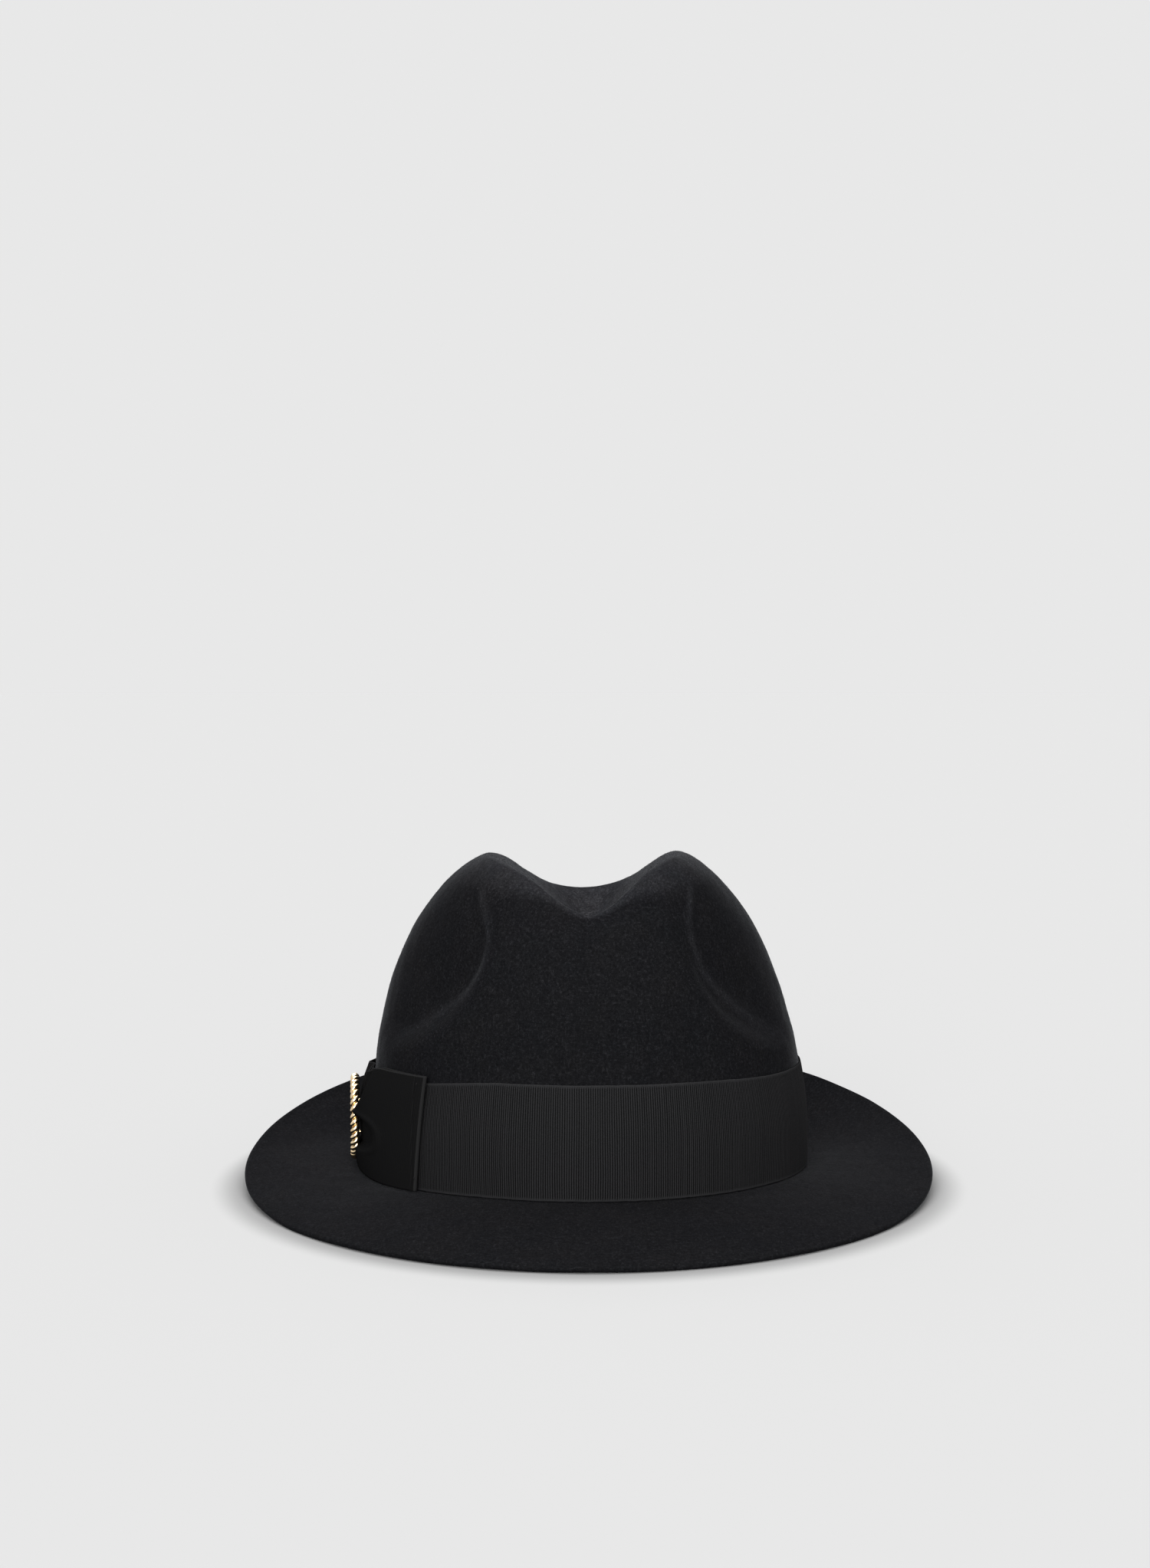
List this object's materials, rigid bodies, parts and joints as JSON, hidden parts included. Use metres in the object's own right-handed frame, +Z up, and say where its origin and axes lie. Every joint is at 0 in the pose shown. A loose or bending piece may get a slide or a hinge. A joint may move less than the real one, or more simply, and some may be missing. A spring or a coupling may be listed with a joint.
{
  "type": "fedora hat",
  "caption": "Black felt fedora with a creased, pinched crown, snap brim turned up at the back, ribbed band, side bow, gilt openwork ornament, leather sweatband and satin lining.",
  "frame": {"origin": "centre of the brim's outline, on the surface that the hat rests on", "axes": "+Z up through the crown, -Y towards the front of the hat, +X towards the side without the bow"},
  "size_m": [0.278, 0.305, 0.1332],
  "materials": {
    "felt": "matt black fur felt with a soft nap",
    "grosgrain": "black grosgrain, upright ribs, slight sheen",
    "bow_ribbon": "black grosgrain, fine ribs, slight sheen",
    "black_thread": "black thread",
    "gilt_metal": "pale gold plating, polished casting",
    "sweatband_leather": "dark brown leather, fine grain",
    "reed_plastic": "translucent plastic",
    "tape_fabric": "black woven tape",
    "sweatband_thread": "dark brown thread",
    "sweatband_bow_ribbon": "narrow dark satin ribbon",
    "lining_satin": "black satin",
    "piping_satin": "satin-covered cord",
    "clear_sheet": "clear flexible sheet"
  },
  "bodies": {
    "hat": {"felt_crown": "felt", "hatband_ribbon": "grosgrain", "bow_front_loop": "bow_ribbon", "bow_rear_loop": "bow_ribbon", "bow_wrap": "bow_ribbon", "ribbon_tacks": "black_thread", "bow_tacks": "black_thread", "ornament": "gilt_metal", "ornament_posts": "gilt_metal", "sweatband": "sweatband_leather", "sweatband_reed": "reed_plastic", "reed_tape": "tape_fabric", "sweatband_stitches": "sweatband_thread", "sweatband_seam": "sweatband_thread", "sweatband_bow": "sweatband_bow_ribbon", "lining_side": "lining_satin", "lining_tip": "lining_satin", "lining_piping": "piping_satin", "tip_shield": "clear_sheet"},
    "brim_front": {"felt_brim_front": "felt"},
    "brim_rear": {"felt_brim_rear": "felt"}
  },
  "joints": [
    {"name": "brim_front_snap", "type": "hinge", "parent": "hat", "child": "brim_front", "pos_m": [0, -0.104, 0.011], "axis": [-1, 0, 0], "range_deg": [0, 30]},
    {"name": "brim_rear_snap", "type": "hinge", "parent": "hat", "child": "brim_rear", "pos_m": [0, 0.107, 0.0045], "axis": [-1, 0, 0], "range_deg": [0, 28]}
  ]
}
